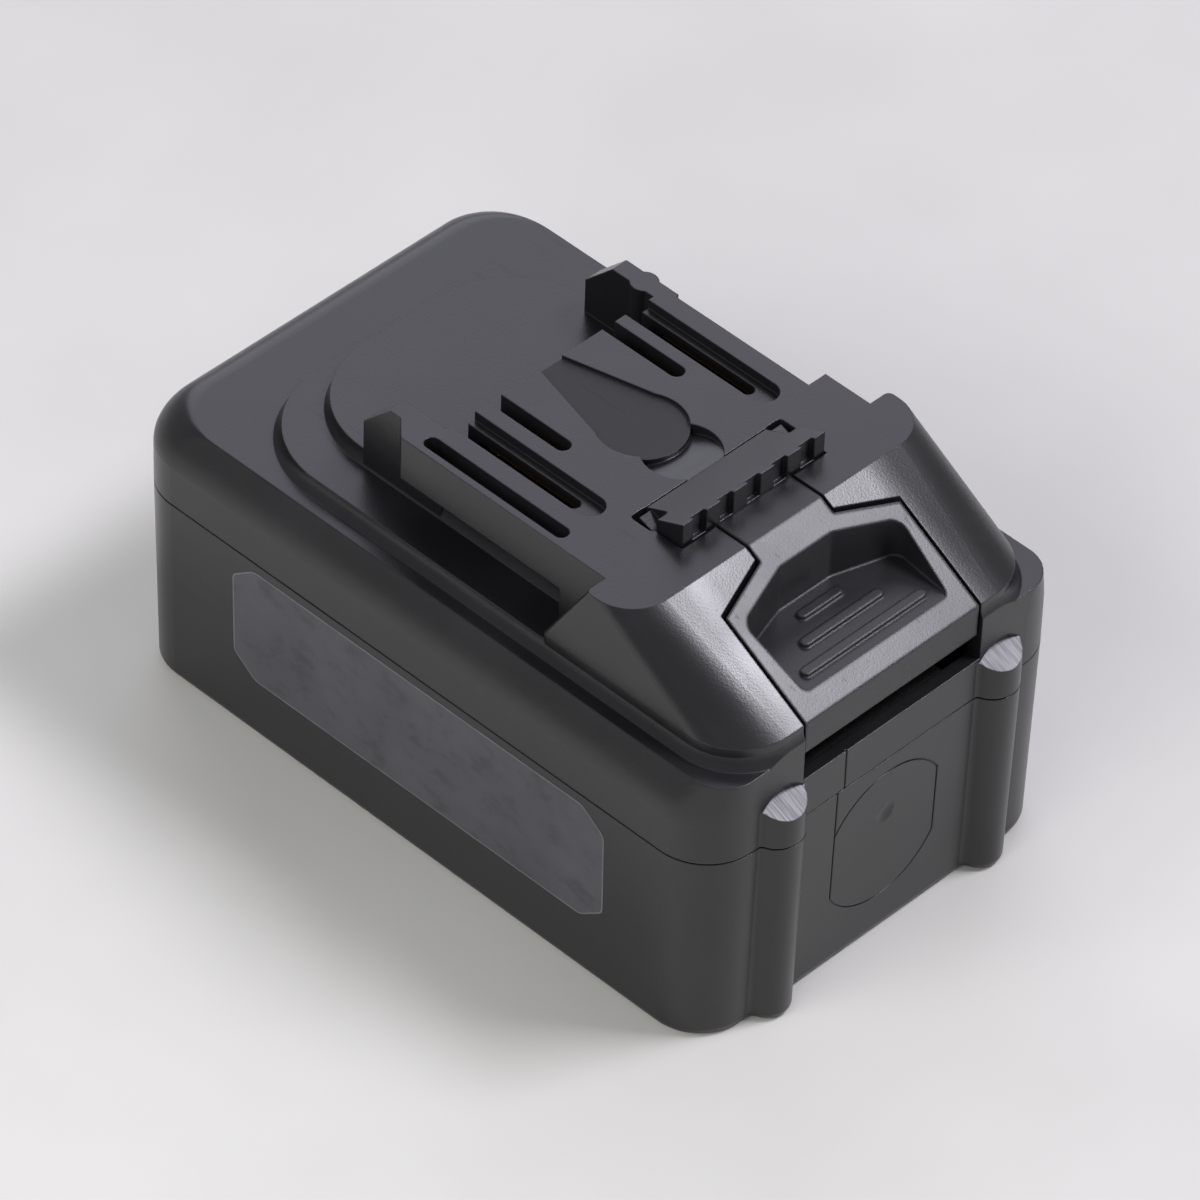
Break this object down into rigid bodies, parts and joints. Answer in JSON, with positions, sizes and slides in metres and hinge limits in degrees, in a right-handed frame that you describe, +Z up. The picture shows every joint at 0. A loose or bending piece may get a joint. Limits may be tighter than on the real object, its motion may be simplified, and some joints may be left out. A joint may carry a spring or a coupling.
{
  "type": "slide-on battery pack for an electric bike",
  "caption": "Slide-on battery pack with rails and slotted contacts on top, a sloped front with a sprung release button and catch, and round cells inside.",
  "frame": {"origin": "centre of the bottom face, at the height of the surface it stands on", "axes": "+X across the pack, +Y towards the rear end that enters the holder, +Z up; the release button faces -Y"},
  "size_m": [0.075, 0.1226, 0.0701],
  "materials": {
    "case_plastic": "matt moulded black",
    "button_plastic": "fine spark texture, black",
    "inner_plastic": "moulded black",
    "screw_steel": "zinc plated",
    "spring_steel": "drawn wire",
    "board_laminate": "green solder mask",
    "component_resin": "moulded resin",
    "contact_brass": "plated",
    "foam": "closed cell foam",
    "sheet_fibre": "fish paper",
    "nickel": "rolled strip",
    "cell_sleeve": "shrink sleeve"
  },
  "bodies": {
    "pack": {"lower_case": "case_plastic", "upper_case": "case_plastic", "latch_guide": "inner_plastic", "cell_holder_left": "inner_plastic", "cell_holder_right": "inner_plastic", "terminal_block": "inner_plastic", "case_screws": "screw_steel", "board_screws": "screw_steel", "guide_screws": "screw_steel", "button_spring_left": "spring_steel", "button_spring_right": "spring_steel", "circuit_board": "board_laminate", "board_switches": "component_resin", "board_parts": "component_resin", "temperature_sensor": "component_resin", "terminal_plus": "contact_brass", "terminal_minus": "contact_brass", "signal_terminals": "contact_brass", "foam_front": "foam", "foam_rear": "foam", "insulator_left": "sheet_fibre", "insulator_right": "sheet_fibre", "link_left_1": "nickel", "link_left_2": "nickel", "link_left_3": "nickel", "link_right_1": "nickel", "link_right_2": "nickel", "link_right_3": "nickel", "cell_01": "cell_sleeve", "cell_02": "cell_sleeve", "cell_03": "cell_sleeve", "cell_04": "cell_sleeve", "cell_05": "cell_sleeve", "cell_06": "cell_sleeve", "cell_07": "cell_sleeve", "cell_08": "cell_sleeve", "cell_09": "cell_sleeve", "cell_10": "cell_sleeve"},
    "latch": {"latch_button": "button_plastic", "latch_hook": "case_plastic"}
  },
  "joints": [
    {"name": "button_press", "type": "slide", "parent": "pack", "child": "latch", "axis": [0, 0, -1], "range_m": [0, 0.003], "stiffness_N_per_m": 1200, "springref_m": -0.004, "deforming": ["button_spring_left", "button_spring_right"]}
  ]
}
